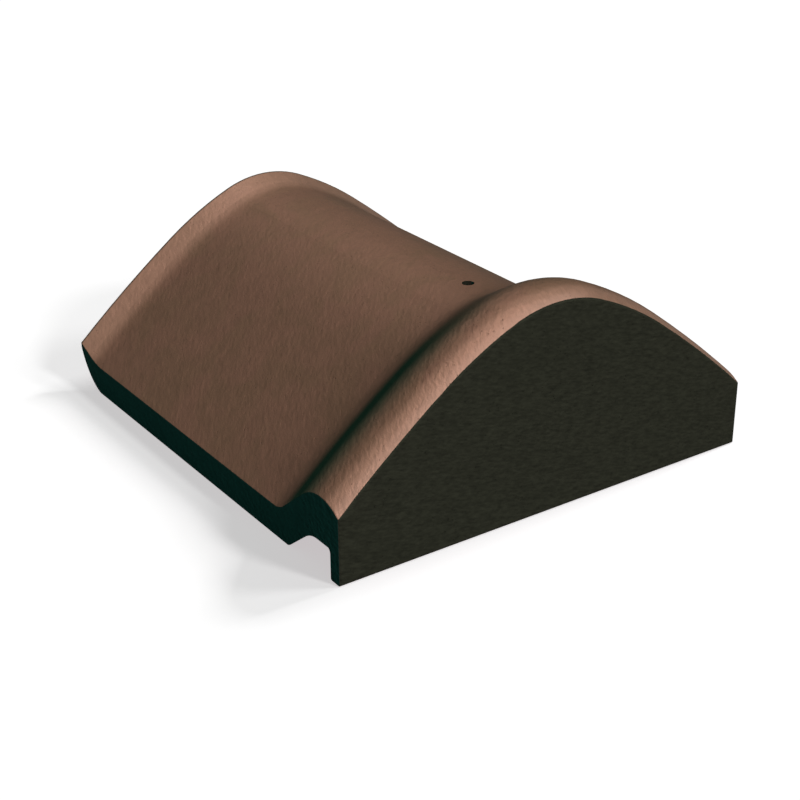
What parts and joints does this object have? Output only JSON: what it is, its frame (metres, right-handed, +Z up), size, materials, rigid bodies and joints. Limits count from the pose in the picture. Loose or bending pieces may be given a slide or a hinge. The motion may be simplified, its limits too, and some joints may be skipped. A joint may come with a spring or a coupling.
{
  "type": "ridge tile",
  "caption": "Arched closed-end ridge tile of cast concrete: a shell that caps a roof ridge, with a raised roll, a closing plate at one end, a flared lip at the other and a crown screw hole.",
  "frame": {"origin": "centre of the footprint, on the floor the tile lies on", "axes": "+Y along the ridge, from the closing plate towards the open flared lip; +X across the ridge; +Z up, out through the crown"},
  "size_m": [0.25, 0.2756, 0.1148],
  "materials": {
    "concrete": "fine matt cast face, dark red-brown"
  },
  "bodies": {
    "root": {"ridge_tile": "concrete"}
  },
  "joints": []
}
